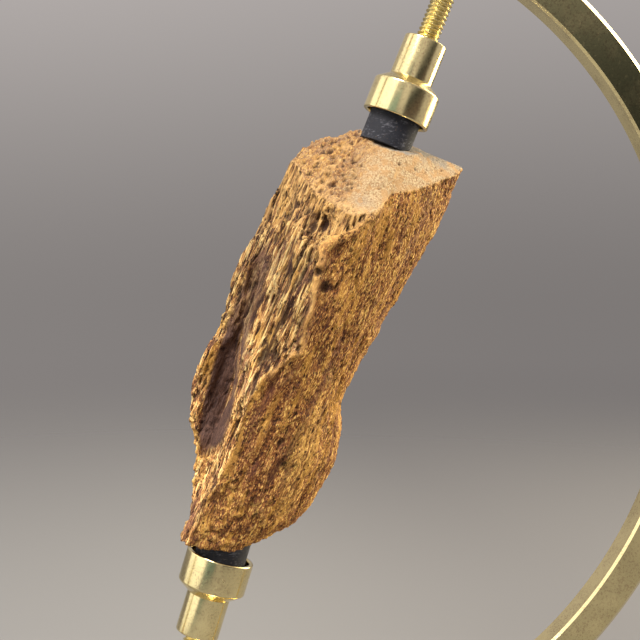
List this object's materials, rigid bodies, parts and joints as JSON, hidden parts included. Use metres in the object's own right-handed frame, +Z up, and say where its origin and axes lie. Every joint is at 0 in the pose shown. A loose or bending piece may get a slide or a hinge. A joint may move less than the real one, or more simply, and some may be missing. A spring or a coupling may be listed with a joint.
{
  "type": "fossil bone on a ring stand",
  "caption": "Broken plesiosaur bone fossil held between padded brass screw clamps in an upright brass ring on a round base.",
  "frame": {"origin": "middle of the base disc's underside", "axes": "+Z up; the ring stands in the XZ plane; -Y is the front, where the picture is taken from; the clamps lean toward +X at the top"},
  "size_m": [0.1904, 0.11, 0.2337],
  "materials": {
    "fossil_bone": "rough, porous, ochre to brown",
    "polished_brass": "polished",
    "threaded_brass": "bright, threaded",
    "black_rubber": "matt, lightly scuffed"
  },
  "bodies": {
    "stand": {"ring": "polished_brass", "post": "polished_brass", "base": "polished_brass"},
    "upper_clamp": {"upper_rod": "threaded_brass", "upper_cup": "polished_brass", "upper_pad": "black_rubber", "upper_knob": "polished_brass"},
    "lower_clamp": {"lower_rod": "threaded_brass", "lower_cup": "polished_brass", "lower_pad": "black_rubber", "lower_knob": "polished_brass", "bone": "fossil_bone"}
  },
  "joints": [
    {"name": "upper_screw", "type": "slide", "parent": "stand", "child": "upper_clamp", "axis": [0.3778, 0, 0.9259], "range_m": [0, 0.015]},
    {"name": "lower_screw", "type": "slide", "parent": "stand", "child": "lower_clamp", "axis": [-0.299, 0, -0.9542], "range_m": [0, 0.017]}
  ]
}
